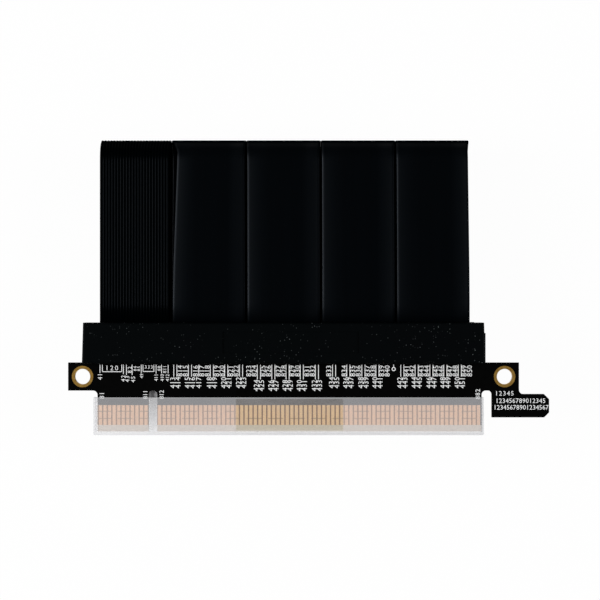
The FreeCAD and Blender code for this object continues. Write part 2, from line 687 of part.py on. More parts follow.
route_length = report_route()
for part in ribbons:
    section = part.Shape.BoundBox.XLength * size("ribbon_thick")
    print(part.Label, "volume over section times length", round(part.Shape.Volume / (section * route_length), 4))

os.makedirs("parts", exist_ok=True)
for part in SUB_PARTS:
    part.Shape.exportStep(f"parts/{part.Label}.step")
    box = part.Shape.BoundBox
    print(part.Label, len(part.Shape.Solids), "solids", round(part.Shape.Volume, 2), "mm3",
          [round(value, 2) for value in (box.XMin, box.XMax, box.YMin, box.YMax, box.ZMin, box.ZMax)])
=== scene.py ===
"""Extension cable for a 16-lane card slot, seen from straight above its card-edge end.

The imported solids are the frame. Sections follow the cable as it is put together: the card-edge board and
its print, the gold, the bare wire ends, the ribbons, the overmoulds with the slot housing, and last the
slip-on cover. The studio comes after them.
"""

import math

import bpy
import numpy as np
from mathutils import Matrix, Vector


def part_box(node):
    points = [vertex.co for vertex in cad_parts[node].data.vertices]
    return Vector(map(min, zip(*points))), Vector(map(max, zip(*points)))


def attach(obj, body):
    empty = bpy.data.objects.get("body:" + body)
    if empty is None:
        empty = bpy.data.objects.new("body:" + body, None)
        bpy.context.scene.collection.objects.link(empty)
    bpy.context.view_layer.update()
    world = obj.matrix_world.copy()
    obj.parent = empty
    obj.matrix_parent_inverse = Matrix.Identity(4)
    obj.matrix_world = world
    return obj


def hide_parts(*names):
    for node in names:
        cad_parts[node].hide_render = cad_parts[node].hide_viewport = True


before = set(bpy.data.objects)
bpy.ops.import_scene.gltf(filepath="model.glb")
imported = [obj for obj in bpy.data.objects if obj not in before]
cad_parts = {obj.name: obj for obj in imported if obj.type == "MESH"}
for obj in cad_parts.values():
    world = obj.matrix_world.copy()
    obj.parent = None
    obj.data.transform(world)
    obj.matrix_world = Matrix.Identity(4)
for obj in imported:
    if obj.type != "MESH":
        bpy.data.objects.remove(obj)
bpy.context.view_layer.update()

# Card-edge board
# A 1.6 mm glass-epoxy circuit board, routed to shape and coated with black solder mask.
# Its end is buried in the overmould, and the holes in its two ears take screws.
MM = 0.001


def linear(hex_colour):
    """An sRGB hex colour as linear red, green, blue and alpha, by the standard's two-part curve."""
    share = np.array([int(hex_colour[place:place + 2], 16) for place in (1, 3, 5)]) / 255
    curve = np.where(share <= 0.04045, share / 12.92, ((share + 0.055) / 1.055) ** 2.4)
    return (*curve.tolist(), 1.0)


def add_node(tree, kind, settings=None, links=None):
    """Add one shader node. Settings are properties by name and inputs by name or number, and links join
    its inputs to other sockets."""
    made = tree.nodes.new(kind)
    for name, value in (settings or {}).items():
        if isinstance(name, str) and hasattr(made, name):
            setattr(made, name, value)
        else:
            made.inputs[name].default_value = value
    for name, source in (links or {}).items():
        tree.links.new(source, made.inputs[name])
    return made


def start_material(name):
    """An empty node material and its tree."""
    material = bpy.data.materials.new(name)
    material.use_nodes = True
    material.node_tree.nodes.clear()
    return material, material.node_tree


def dress(node_name, material):
    """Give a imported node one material."""
    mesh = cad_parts[node_name].data
    mesh.materials.clear()
    mesh.materials.append(material)


board_low, board_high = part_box("edge_board")
film_low, film_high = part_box("finger_film")
BOARD_MIDDLE = (board_low.z + board_high.z) / 2
# The film's tints on the bare gaps between the fingers and on the bevelled edge. On the gaps it also holds a
# painted shade, darker than the film's tint alone.
GAP_TINT_AND_SHADE = (0.6, 0.48, 0.24)
BEVEL_TINT = (0.91, 0.92, 0.8)


def under_film(tree, tone, tint_and_shade):
    """The tone, times the tint that the amber film gives to what lies under it on the board's upper half. For
    the bare gaps this also holds a painted shade.
    """
    place = add_node(tree, "ShaderNodeTexCoord")
    spot = add_node(tree, "ShaderNodeSeparateXYZ", links={"Vector": place.outputs["Object"]})
    aside = add_node(tree, "ShaderNodeMath", {"operation": "ABSOLUTE"}, {0: spot.outputs["X"]})
    in_patch = add_node(tree, "ShaderNodeMath", {"operation": "LESS_THAN", 1: film_high.x},
                        {0: aside.outputs[0]})
    in_front = add_node(tree, "ShaderNodeMath", {"operation": "GREATER_THAN", 1: BOARD_MIDDLE},
                        {0: spot.outputs["Z"]})
    covered = add_node(tree, "ShaderNodeMath", {"operation": "MULTIPLY"},
                       {0: in_patch.outputs[0], 1: in_front.outputs[0]})
    tinted = add_node(tree, "ShaderNodeMix", {"data_type": "RGBA", "blend_type": "MULTIPLY", 7: (*tint_and_shade, 1.0)},
                      {0: covered.outputs[0], 6: tone})
    return tinted.outputs[2]


# Black solder mask: a screened epoxy film, even and slightly orange-peeled, with a satin shine.
# It has a window round the fingers, where the brown laminate lies bare between them.
WINDOW_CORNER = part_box("edge_fingers_front")[1]
mask_black, tree = start_material("black_solder_mask")
place = add_node(tree, "ShaderNodeTexCoord")
peel = add_node(tree, "ShaderNodeTexNoise", {"Scale": 1 / (0.9 * MM), "Detail": 3.0},
                {"Vector": place.outputs["Object"]})
peel_bump = add_node(tree, "ShaderNodeBump", {"Strength": 0.12, "Distance": 0.02 * MM},
                     {"Height": peel.outputs["Fac"]})
mask_shine = add_node(tree, "ShaderNodeMapRange", {"To Min": 0.38, "To Max": 0.52},
                      {"Value": peel.outputs["Fac"]})
mask_tone = add_node(tree, "ShaderNodeValToRGB", links={"Fac": peel.outputs["Fac"]})
mask_tone.color_ramp.elements[0].color = linear("#010101")
mask_tone.color_ramp.elements[1].color = linear("#030303")
spot = add_node(tree, "ShaderNodeSeparateXYZ", links={"Vector": place.outputs["Object"]})
below_top = add_node(tree, "ShaderNodeMath", {"operation": "LESS_THAN", 1: WINDOW_CORNER.y},
                     {0: spot.outputs["Y"]})
on_tongue = add_node(tree, "ShaderNodeMath", {"operation": "LESS_THAN", 1: WINDOW_CORNER.x},
                     {0: spot.outputs["X"]})
in_window = add_node(tree, "ShaderNodeMath", {"operation": "MULTIPLY"},
                     {0: below_top.outputs[0], 1: on_tongue.outputs[0]})
window_tone = add_node(tree, "ShaderNodeMix", {"data_type": "RGBA", 7: linear("#8f6638")},
                       {0: in_window.outputs[0], 6: mask_tone.outputs["Color"]})
# Under the film the bare gaps take the film's tint and a painted shade.
mask_shader = add_node(tree, "ShaderNodeBsdfPrincipled", {"Specular IOR Level": 0.03},
                       {"Base Color": under_film(tree, window_tone.outputs[2], GAP_TINT_AND_SHADE),
                        "Roughness": mask_shine.outputs[0],
                        "Normal": peel_bump.outputs[0]})
add_node(tree, "ShaderNodeOutputMaterial", links={"Surface": mask_shader.outputs[0]})

# Bare laminate: where the edge is bevelled, the pale glass cloth and resin show.
laminate, tree = start_material("bevelled_glass_epoxy")
place = add_node(tree, "ShaderNodeTexCoord")
cloth_place = add_node(tree, "ShaderNodeMapping", {"Scale": (1 / (0.5 * MM), 1 / (3 * MM), 1 / (0.2 * MM))},
                       {"Vector": place.outputs["Object"]})
cloth = add_node(tree, "ShaderNodeTexNoise", {"Scale": 1.0, "Detail": 3.0},
                 {"Vector": cloth_place.outputs[0]})
laminate_tone = add_node(tree, "ShaderNodeValToRGB", links={"Fac": cloth.outputs["Fac"]})
laminate_tone.color_ramp.elements[0].color = linear("#c9bdb0")
laminate_tone.color_ramp.elements[1].color = linear("#e2d6ca")
laminate_shader = add_node(tree, "ShaderNodeBsdfPrincipled", {"Roughness": 0.7, "Specular IOR Level": 0.2},
                           {"Base Color": under_film(tree, laminate_tone.outputs["Color"], BEVEL_TINT)})
add_node(tree, "ShaderNodeOutputMaterial", links={"Surface": laminate_shader.outputs[0]})

# Routed edge: the same laminate, browned by the cutter and sooty from the mask.
routed, tree = start_material("routed_glass_epoxy")
place = add_node(tree, "ShaderNodeTexCoord")
fibres = add_node(tree, "ShaderNodeTexNoise", {"Scale": 1 / (0.3 * MM)}, {"Vector": place.outputs["Object"]})
routed_tone = add_node(tree, "ShaderNodeValToRGB", links={"Fac": fibres.outputs["Fac"]})
routed_tone.color_ramp.elements[0].color = linear("#17130e")
routed_tone.color_ramp.elements[1].color = linear("#302819")
routed_shader = add_node(tree, "ShaderNodeBsdfPrincipled", {"Roughness": 0.8, "Specular IOR Level": 0.1},
                         {"Base Color": routed_tone.outputs["Color"]})
add_node(tree, "ShaderNodeOutputMaterial", links={"Surface": routed_shader.outputs[0]})

# Each face's material follows its slope: level faces are masked, sloped ones bevelled, upright ones routed.
LEVEL_FACE = 0.99
UPRIGHT_FACE = 0.05
for board in ("edge_board", "slot_board"):
    dress(board, mask_black)
    board_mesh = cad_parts[board].data
    board_mesh.materials.append(laminate)
    board_mesh.materials.append(routed)
    facing = np.empty(len(board_mesh.polygons) * 3)
    board_mesh.polygons.foreach_get("normal", facing)
    slope = np.abs(facing.reshape(-1, 3)[:, 2])
    kind = np.select([slope > LEVEL_FACE, slope > UPRIGHT_FACE], [0, 1], 2)
    board_mesh.polygons.foreach_set("material_index", kind.astype(np.int32))

# Board print
# White epoxy ink, screened on the solder mask: plain numbers that read upwards in two rows, tick lines
# that lead from the overmould to the lower row, and plain numbers on the tail. It is 0.02 mm thick.
BOARD_TOP = board_high.z
INK_THICK = 0.02 * MM
# Sizes and places of the ink in millimetres, seen from above. The numbers of a row stand in pairs, at one
# distance aside of each pair's middle, and singly. The middle part of the lower row stands lower.
DIGIT_HEIGHT = 1.12
DIGIT_STEP = 0.86
LINE_WIDTH = 0.145
INK_SPREAD = -0.003
UPPER_PAIRS = [-23.46, -18.67, -15.46, -12.35, -8.37, -5.24, -1.88, 1.12, 4.39, 14.45, 17.68, 20.82,
               26.24, 29.48, 32.7, 35.74, 38.9]
UPPER_SINGLES = [-20.67, 8.59, 11.97]
UPPER_ASIDE = 0.6
UPPER_LOW = -7.45
UPPER_FIRST = 814
LOWER_PAIRS = [-25.07, -21.86, -17.06, -13.9, -10.65, -6.73, -3.56, -0.43, 2.68, 6.0, 9.77, 12.9, 16.2,
               19.28, 24.75, 27.9, 31.13, 34.19, 37.36]
LOWER_SINGLES = [-19.94]
LOWER_ASIDE = 0.56
LOWER_LOW = -10.03
LOWER_DROP = 0.62
DROPPED_PART = (-8, 7)
LOWER_FIRST = 413
TICK_ASIDE = 0.34
TICK_TOP = -4.78
TICK_END = -7.4
# Numbers near the key notch and the board's ends: text, middle, lowest point, height and step
END_NUMBERS = [
    ("41", -41.61, -8.2, 0.95, 0.8), ("42", -36.5, -8.6, 0.88, 0.8), ("43", -35.6, -8.7, 0.88, 0.78),
    ("45", -34.35, -8.75, 0.88, 0.75), ("49", -32.48, -7.8, 0.7, 0.55), ("411", -29.3, -8.4, 0.76, 0.54),
    ("410", -27.96, -8.45, 0.76, 0.54), ("412", -26.8, -8.45, 0.74, 0.54), ("82", -35.09, -6.8, 0.86, 0.9),
    ("84", -33.92, -6.25, 0.66, 0.6), ("85", -33.12, -6.25, 0.66, 0.6), ("88", -28.62, -6.2, 0.72, 0.6),
    ("811", -27.42, -6.65, 0.74, 0.58), ("81", -41.2, -12.35, 1.0, 0.82), ("811", -31.67, -12.35, 0.95, 0.66),
    ("812", -28.09, -12.35, 0.95, 0.66), ("882", 41.31, -12.45, 1.0, 0.8),
]
END_TICKS = [(-41.61, -6.6), (-36.47, -6.85), (-35.8, -7.05), (-34.55, -7.05), (-32.55, -6.6), (-29.3, -6.7),
             (-28.1, -6.7), (-26.66, -6.7)]
# Brackets as left, right and low edge, and the rows that read level as text, left, lowest point, height
# and step
BRACKETS = [(-41.09, -36.83, -6.4), (-32.17, -29.78, -6.35)]
LEVEL_ROWS = [
    ("120", -40.6, -6.03, 1.05, 1.05), ("333", -31.9, -5.66, 0.74, 0.66),
    ("12345", 45.0, -11.56, 0.97, 0.865), ("123456789012345", 45.18, -13.19, 0.99, 0.735),
    ("12345678901234567", 44.75, -14.65, 1.0, 0.714),
]
RING_MARK = (22.85, -5.75)
RING_RADII = (0.27, 0.45)
RING_STEPS = 24
DIGIT_CURVE_STEPS = 2


def glyph(character):
    """The mesh of one plain digit, as points and triangles, one unit high with its middle at zero."""
    text = bpy.data.curves.new("digit", "FONT")
    text.body = character
    text.offset = INK_SPREAD
    text.resolution_u = DIGIT_CURVE_STEPS
    carrier = bpy.data.objects.new("digit", text)
    bpy.context.scene.collection.objects.link(carrier)
    bpy.context.view_layer.update()
    mesh = bpy.data.meshes.new_from_object(carrier)
    mesh.calc_loop_triangles()
    points = np.empty(len(mesh.vertices) * 3)
    mesh.vertices.foreach_get("co", points)
    corners = np.empty(len(mesh.loop_triangles) * 3, dtype=np.int32)
    mesh.loop_triangles.foreach_get("vertices", corners)
    bpy.data.objects.remove(carrier)
    bpy.data.curves.remove(text)
    bpy.data.meshes.remove(mesh)
    flat = points.reshape(-1, 3)[:, :2]
    flat = (flat - (flat.min(axis=0) + flat.max(axis=0)) / 2) / np.ptp(flat[:, 1])
    return flat, corners.reshape(-1, 3)


glyphs = {character: glyph(character) for character in "0123456789"}
ink_points = []
ink_faces = []


def add_ink(points, faces):
    """Add one flat shape to the print, as points on the board's face and faces that point up."""
    start = sum(len(part) for part in ink_points)
    ink_points.append(points)
    ink_faces.extend((np.asarray(faces) + start).tolist())


def add_line(left, low, right, high):
    """Add one straight bar to the print."""
    add_ink(np.array([(left, low), (right, low), (right, high), (left, high)]), [(0, 1, 2, 3)])


def add_tick(middle, low):
    """Add one line that starts just below the overmould's edge."""
    add_line(middle - LINE_WIDTH / 2, low, middle + LINE_WIDTH / 2, TICK_TOP)


def add_upward(text, middle, low, height=DIGIT_HEIGHT, step=DIGIT_STEP):
    """Add a number that reads upwards, a digit to each step: its width runs along +Y, its height along -X."""
    for cell, character in enumerate(text):
        flat, triangles = glyphs[character]
        along = low + (cell + 0.5) * step + flat[:, 0] * height
        add_ink(np.stack([middle - flat[:, 1] * height, along], axis=1), triangles)


def add_level(text, left, low, height, step):
    """Add a number that reads along +X, a digit to each step."""
    for cell, character in enumerate(text):
        flat, triangles = glyphs[character]
        along = left + (cell + 0.5) * step + flat[:, 0] * height
        add_ink(np.stack([along, low + (0.5 + flat[:, 1]) * height], axis=1), triangles)


def row_places(pairs, aside, singles):
    """Middles of all the numbers in a row, from left to right."""
    return sorted([pair + side for pair in pairs for side in (-aside, aside)] + singles)


def row_drop(middle):
    """How much lower the lower row stands there: the full drop in its dropped part and nothing elsewhere."""
    return LOWER_DROP if DROPPED_PART[0] < middle < DROPPED_PART[1] else 0


for contact, middle in enumerate(row_places(UPPER_PAIRS, UPPER_ASIDE, UPPER_SINGLES), UPPER_FIRST):
    add_upward(str(contact), middle, UPPER_LOW)
for contact, middle in enumerate(row_places(LOWER_PAIRS, LOWER_ASIDE, LOWER_SINGLES), LOWER_FIRST):
    add_upward(str(contact), middle, LOWER_LOW - row_drop(middle))
for middle in row_places(LOWER_PAIRS, TICK_ASIDE, LOWER_SINGLES):
    add_tick(middle, TICK_END - row_drop(middle))
for text, middle, low, height, step in END_NUMBERS:
    add_upward(text, middle, low, height, step)
for middle, low in END_TICKS:
    add_tick(middle, low)
for left, right, low in BRACKETS:
    add_line(left, low, right, low + LINE_WIDTH)
    for middle in (left, right):
        add_tick(middle, low)
for text, left, low, height, step in LEVEL_ROWS:
    add_level(text, left, low, height, step)
around = np.arange(RING_STEPS)
turn = 2 * math.pi * around / RING_STEPS
circle = np.stack([np.cos(turn), np.sin(turn)], axis=1)
ring_faces = np.stack([around, around + RING_STEPS, (around + 1) % RING_STEPS + RING_STEPS,
                       (around + 1) % RING_STEPS], axis=1)
add_ink(np.concatenate([circle * radius + RING_MARK for radius in RING_RADII]), ring_faces)
add_tick(RING_MARK[0], RING_MARK[1] + RING_RADII[1])

print_mesh = bpy.data.meshes.new("board_print")
ink_flat = np.concatenate(ink_points) * MM
ink_level = np.full(len(ink_flat), BOARD_TOP + INK_THICK)
print_mesh.from_pydata(np.column_stack([ink_flat, ink_level]), [], ink_faces)
board_print = bpy.data.objects.new("board_print", print_mesh)
bpy.context.scene.collection.objects.link(board_print)
ink_body = board_print.modifiers.new("ink_thickness", "SOLIDIFY")
ink_body.thickness = INK_THICK
ink_body.offset = -1
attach(board_print, "root")

# White screen ink: matt epoxy, a little thin where the mesh of the screen left pinholes. They are drawn
# coarser than they are, so that they show.
ink_white, tree = start_material("white_screen_ink")
place = add_node(tree, "ShaderNodeTexCoord")
pinholes = add_node(tree, "ShaderNodeTexNoise", {"Scale": 1 / (0.25 * MM), "Detail": 2.0},
                    {"Vector": place.outputs["Object"]})
ink_tone = add_node(tree, "ShaderNodeValToRGB", links={"Fac": pinholes.outputs["Fac"]})
ink_tone.color_ramp.elements[0].position = 0.3
ink_tone.color_ramp.elements[0].color = linear("#e2e4e5")
ink_tone.color_ramp.elements[1].position = 0.5
ink_tone.color_ramp.elements[1].color = linear("#fafbfb")
ink_shader = add_node(tree, "ShaderNodeBsdfPrincipled", {"Roughness": 0.6, "Specular IOR Level": 0.2},
                      {"Base Color": ink_tone.outputs["Color"]})
add_node(tree, "ShaderNodeOutputMaterial", links={"Surface": ink_shader.outputs[0]})
print_mesh.materials.append(ink_white)

# Gold fingers, hole rims and contacts
# Copper strips, eyelets and springs, plated with nickel and thin hard gold. The fingers are matt from
# the plating bath, and carry faint dark marks across them from the last time they were plugged in.
# Marks in millimetres: the middle of one along Y, the step from it to the next, half its width, their
# repeat along X, and the share of each repeat that is marked
WEAR_LINE = -16.58
WEAR_APART = 1.56
WEAR_HALF = 0.12
WEAR_PERIOD = 4.72
WEAR_SHARE = 0.7
GOLD_TINT = (1.02, 1.08, 0.88)

finger_gold, tree = start_material("matt_hard_gold")
place = add_node(tree, "ShaderNodeTexCoord")
spot = add_node(tree, "ShaderNodeSeparateXYZ", links={"Vector": place.outputs["Object"]})
grain_place = add_node(tree, "ShaderNodeMapping", {"Scale": (1 / (0.35 * MM), 1 / (4 * MM), 1 / (1 * MM))},
                       {"Vector": place.outputs["Object"]})
grain = add_node(tree, "ShaderNodeTexNoise", {"Scale": 1.0, "Detail": 4.0},
                 {"Vector": grain_place.outputs[0]})
plating = add_node(tree, "ShaderNodeValToRGB", links={"Fac": grain.outputs["Fac"]})
plating.color_ramp.elements[0].position = 0.25
plating.color_ramp.elements[0].color = linear("#e4b288")
plating.color_ramp.elements[1].position = 0.75
plating.color_ramp.elements[1].color = linear("#f2c59c")
from_line = add_node(tree, "ShaderNodeMapRange", {"From Min": (WEAR_LINE - WEAR_HALF) * MM, "clamp": False,
                                                  "From Max": (WEAR_LINE - WEAR_HALF + WEAR_APART) * MM},
                     {"Value": spot.outputs["Y"]})
past_line = add_node(tree, "ShaderNodeMath", {"operation": "FRACT"}, {0: from_line.outputs[0]})
on_line = add_node(tree, "ShaderNodeMath", {"operation": "LESS_THAN", 1: 2 * WEAR_HALF / WEAR_APART},
                   {0: past_line.outputs[0]})
groups = add_node(tree, "ShaderNodeMath", {"operation": "DIVIDE", 1: WEAR_PERIOD * MM},
                  {0: spot.outputs["X"]})
in_group = add_node(tree, "ShaderNodeMath", {"operation": "FRACT"}, {0: groups.outputs[0]})
worn = add_node(tree, "ShaderNodeMath", {"operation": "LESS_THAN", 1: WEAR_SHARE}, {0: in_group.outputs[0]})
mark = add_node(tree, "ShaderNodeMath", {"operation": "MULTIPLY"},
                {0: on_line.outputs[0], 1: worn.outputs[0]})
# Behind the film the upper mark is wiped away.
upper = add_node(tree, "ShaderNodeMath", {"operation": "GREATER_THAN", 1: (WEAR_LINE + WEAR_APART / 2) * MM},
                 {0: spot.outputs["Y"]})
aside = add_node(tree, "ShaderNodeMath", {"operation": "ABSOLUTE"}, {0: spot.outputs["X"]})
behind_film = add_node(tree, "ShaderNodeMath", {"operation": "LESS_THAN", 1: film_high.x},
                       {0: aside.outputs[0]})
wiped = add_node(tree, "ShaderNodeMath", {"operation": "MULTIPLY"},
                 {0: upper.outputs[0], 1: behind_film.outputs[0]})
mark_left = add_node(tree, "ShaderNodeMath", {"operation": "SUBTRACT", "use_clamp": True},
                     {0: mark.outputs[0], 1: wiped.outputs[0]})
gold_tone = add_node(tree, "ShaderNodeMix", {"data_type": "RGBA", 7: linear("#b48e68")},
                     {0: mark_left.outputs[0], 6: plating.outputs["Color"]})
gold_shader = add_node(tree, "ShaderNodeBsdfPrincipled", {"Metallic": 0.15, "Roughness": 0.5},
                       {"Base Color": under_film(tree, gold_tone.outputs[2], GOLD_TINT)})
add_node(tree, "ShaderNodeOutputMaterial", links={"Surface": gold_shader.outputs[0]})
dress("edge_fingers_front", finger_gold)
dress("edge_fingers_back", finger_gold)

# Bright gold: thinner plating on rims and springs, with the shine of the polished metal below it.
bright_gold, tree = start_material("bright_hard_gold")
place = add_node(tree, "ShaderNodeTexCoord")
polish = add_node(tree, "ShaderNodeTexNoise", {"Scale": 1 / (0.8 * MM), "Detail": 3.0},
                  {"Vector": place.outputs["Object"]})
bright_tone = add_node(tree, "ShaderNodeValToRGB", links={"Fac": polish.outputs["Fac"]})
bright_tone.color_ramp.elements[0].color = linear("#c4923e")
bright_tone.color_ramp.elements[1].color = linear("#e0b866")
bright_shine = add_node(tree, "ShaderNodeMapRange", {"To Min": 0.25, "To Max": 0.4},
                        {"Value": polish.outputs["Fac"]})
bright_shader = add_node(tree, "ShaderNodeBsdfPrincipled", {"Metallic": 1.0},
                         {"Base Color": bright_tone.outputs["Color"], "Roughness": bright_shine.outputs[0]})
add_node(tree, "ShaderNodeOutputMaterial", links={"Surface": bright_shader.outputs[0]})
for part in ("edge_hole_rims", "slot_contacts_upper", "slot_contacts_lower"):
    dress(part, bright_gold)

# Bare wire ends
# Tinned copper conductors, stripped and soldered to both boards inside the overmoulds. The dipped tin
# leaves them bright, with an uneven shine.
tinned, tree = start_material("tinned_copper")
place = add_node(tree, "ShaderNodeTexCoord")
solder = add_node(tree, "ShaderNodeTexNoise", {"Scale": 1 / (0.4 * MM)}, {"Vector": place.outputs["Object"]})
tin_shine = add_node(tree, "ShaderNodeMapRange", {"To Min": 0.25, "To Max": 0.45},
                     {"Value": solder.outputs["Fac"]})
tin_shader = add_node(tree, "ShaderNodeBsdfPrincipled", {"Metallic": 1.0, "Base Color": linear("#c9c8c4")},
                      {"Roughness": tin_shine.outputs[0]})
add_node(tree, "ShaderNodeOutputMaterial", links={"Surface": tin_shader.outputs[0]})
dress("edge_wire_ends", tinned)
dress("slot_wire_ends", tinned)

# Ribbons
# Five flat ribbons lie side by side: a fine one of 24 strands moulded together, and four smooth
# shielded ones. They leave the overmould level, fold three times and end in the far overmould.
ROUTE = np.array([
    (0.6, 21.25), (37.7, 21.25),
    (42.54, 21.25), (44.78, 17.37), (42.54, 13.5),
    (33.8, 13.8), (19.5, 15.3), (6.5, 16.2), (0.0, 16.4), (-5.5, 16.43),
    (-10.3, 16.45), (-12.71, 12.28), (-10.3, 8.1), (-5.5, 8.06),
    (0.5, 8.02), (14.5, 8.35), (28.5, 7.95), (36.0, 7.6),
    (42.07, 7.5), (44.09, 4.0), (42.07, 0.5),
    (36.0, 0.47), (28.0, 0.6), (20.8, 1.45), (15.3, 2.5), (8.3, 2.5),
]) * MM
STEPS_A_POINT = 8
HALF_THICK = 0.45 * MM
# Shares by millimetres along the line: droop and lean fade away in the first half of the first fold, and
# from there on the pressed ribbons spread edge to edge, until they part again for the far overmould.
DROOP_SHARE = ([0, 39, 43.5], [1, 1, 0])
LEAN_SHARE = ([0, 12, 41.5, 45.5], [0, 0, 1, 0])
SPREAD_SHARE = ([41.5, 45, 176, 197], [0, 1, 1, 0])


def smooth_line(route):
    """Points along a quadratic NURBS spline that has the route's points as its control points."""
    curve = bpy.data.curves.new("ribbon_line", "CURVE")
    curve.dimensions = "3D"
    curve.resolution_u = STEPS_A_POINT
    spline = curve.splines.new("NURBS")
    spline.points.add(len(route) - 1)
    corners = np.ones((len(route), 4))
    corners[:, 0] = 0
    corners[:, 1:3] = route
    spline.points.foreach_set("co", corners.ravel())
    spline.order_u = 3
    spline.use_endpoint_u = True
    carrier = bpy.data.objects.new("ribbon_line", curve)
    bpy.context.scene.collection.objects.link(carrier)
    bpy.context.view_layer.update()
    mesh = bpy.data.meshes.new_from_object(carrier)
    points = np.empty(len(mesh.vertices) * 3)
    mesh.vertices.foreach_get("co", points)
    bpy.data.objects.remove(carrier)
    bpy.data.curves.remove(curve)
    bpy.data.meshes.remove(mesh)
    return points.reshape(-1, 3)


def closed_tube(name, rings, uv_across, uv_along):
    """A mesh through rings of points: ring i joins ring i + 1 by quads, and flat faces close both ends."""
    count, around = rings.shape[:2]
    first = np.arange(count * around).reshape(count, around)
    after = np.roll(first, -1, axis=1)
    quads = np.stack([first[:-1], first[1:], after[1:], after[:-1]], axis=-1).reshape(-1, 4)
    faces = quads.tolist() + [first[0].tolist(), first[-1][::-1].tolist()]
    mesh = bpy.data.meshes.new(name)
    mesh.from_pydata(rings.reshape(-1, 3), [], faces)
    corner_vertex = np.empty(len(mesh.loops), dtype=np.int32)
    mesh.loops.foreach_get("vertex_index", corner_vertex)
    flat = np.stack(np.broadcast_arrays(uv_across[None, :], uv_along[:, None]), axis=-1).reshape(-1, 2)
    layer = mesh.uv_layers.new(name="across_and_along")
    layer.data.foreach_set("uv", flat[corner_vertex].ravel())
    smooth = np.ones(len(mesh.polygons), dtype=bool)
    smooth[-2:] = False
    mesh.polygons.foreach_set("use_smooth", smooth)
    piece = bpy.data.objects.new(name, mesh)
    bpy.context.scene.collection.objects.link(piece)
    return piece


def lay_ribbon(name, left, across, half, droop, lean, spread, material):
    """A strip along the ribbons' line: at each point of the line a closed section stands square to it.
    A section point lies across from the left side, and above or below the line by half less the droop.
    Lean and spread move the left and right sides apart, and what lies between by its share of the width."""
    step = np.gradient(line[:, 1:], axis=0)
    step /= np.linalg.norm(step, axis=1)[:, None]
    side = np.concatenate([across, across[-2:0:-1]])
    width = across[-1] - across[0]
    gone = np.concatenate([[0], np.cumsum(np.linalg.norm(np.diff(line, axis=0), axis=1))])
    droop_share = np.interp(gone / MM, *DROOP_SHARE)[:, None]
    height = np.concatenate([half, -half[-2:0:-1]])[None, :]
    height = height - droop_share * np.concatenate([droop, droop[-2:0:-1]])[None, :]
    lean_share = np.interp(gone / MM, *LEAN_SHARE)[:, None]
    spread_share = np.interp(gone / MM, *SPREAD_SHARE)[:, None]
    sides = [0, width]
    shift = lean_share * np.interp(side, sides, lean) + spread_share * np.interp(side, sides, spread)
    rings = np.empty((len(line), len(side), 3))
    rings[..., 0] = left + side[None, :] + shift * MM
    rings[..., 1] = line[:, None, 1] - step[:, None, 1] * height
    rings[..., 2] = line[:, None, 2] + step[:, None, 0] * height
    piece = closed_tube(f"{name}_jacket", rings, side / MM, gone / MM)
    piece.data.materials.append(material)
    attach(piece, "root")
    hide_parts(name)
    return piece


# In millimetres: the streaks across and along, the middle of the first fold along the line, how far from it
# the shine is dulled as a painted shade, and the painted levels of the highlights across one strand and
# across one shielded ribbon
STREAK_SIZE = (0.5, 60)
FOLD_ALONG = 46.0
FOLD_DULL = (2.0, 5.0)
STRAND_STEP = 0.635
STRAND_LEVELS = [(0, 0.003), (0.03, 0.015), (0.19, 0.015), (0.25, 0.002), (0.63, 0.002)]
JACKET_STEP = 16.0
JACKET_LEVELS = [(0, 0.15), (0.35, 0.15), (0.6, 0.058), (5.5, 0.036), (12, 0.034), (14, 0.075),
                 (15.3, 0.075), (15.6, 0.02)]


